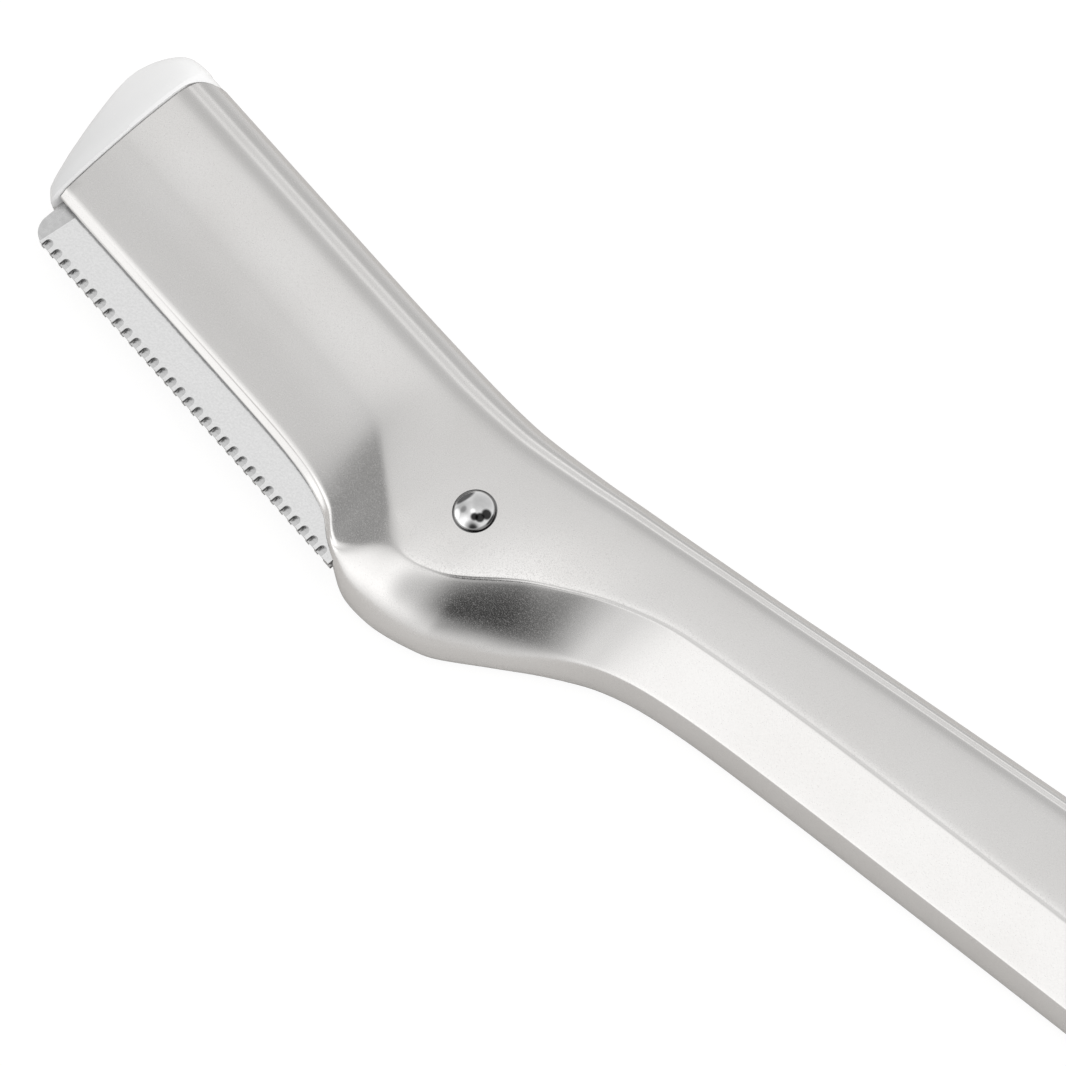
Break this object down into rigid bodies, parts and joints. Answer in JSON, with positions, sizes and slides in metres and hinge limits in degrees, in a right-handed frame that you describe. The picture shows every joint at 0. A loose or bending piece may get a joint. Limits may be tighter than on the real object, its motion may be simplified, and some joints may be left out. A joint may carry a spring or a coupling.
{
  "type": "eyebrow razor",
  "caption": "Slim eyebrow razor with a curved satin metal handle and a comb-guarded blade unit that slides out of the head.",
  "frame": {"origin": "on the rivet's axis, in the plane of the back that the razor lies on", "axes": "+X from the tip towards the handle's end along the head, +Y from the cutting edge towards the spine, +Z out of the front face"},
  "size_m": [0.1354, 0.0349, 0.006],
  "materials": {
    "satin_nickel": "fine-blasted satin nickel plate on die-cast zinc, with a faint sparkle",
    "polished_steel": "mirror polished",
    "spring_steel": "rolled and tempered",
    "blade_steel": "ground, with a honed edge",
    "guard_steel": "matt, fine",
    "white_plastic": "moulded, semi-gloss"
  },
  "bodies": {
    "handle": {"handle_body": "satin_nickel", "head_back_cover": "satin_nickel", "rivet": "polished_steel", "rivet_washer": "spring_steel", "detent_spring": "spring_steel"},
    "cartridge": {"blade_carrier": "white_plastic", "blade": "blade_steel", "front_guard": "guard_steel", "rear_guard": "guard_steel"}
  },
  "joints": [
    {"name": "cartridge_slide", "type": "slide", "parent": "handle", "child": "cartridge", "axis": [-1, 0, 0], "range_m": [0, 0.034], "deforming": ["detent_spring"]}
  ]
}
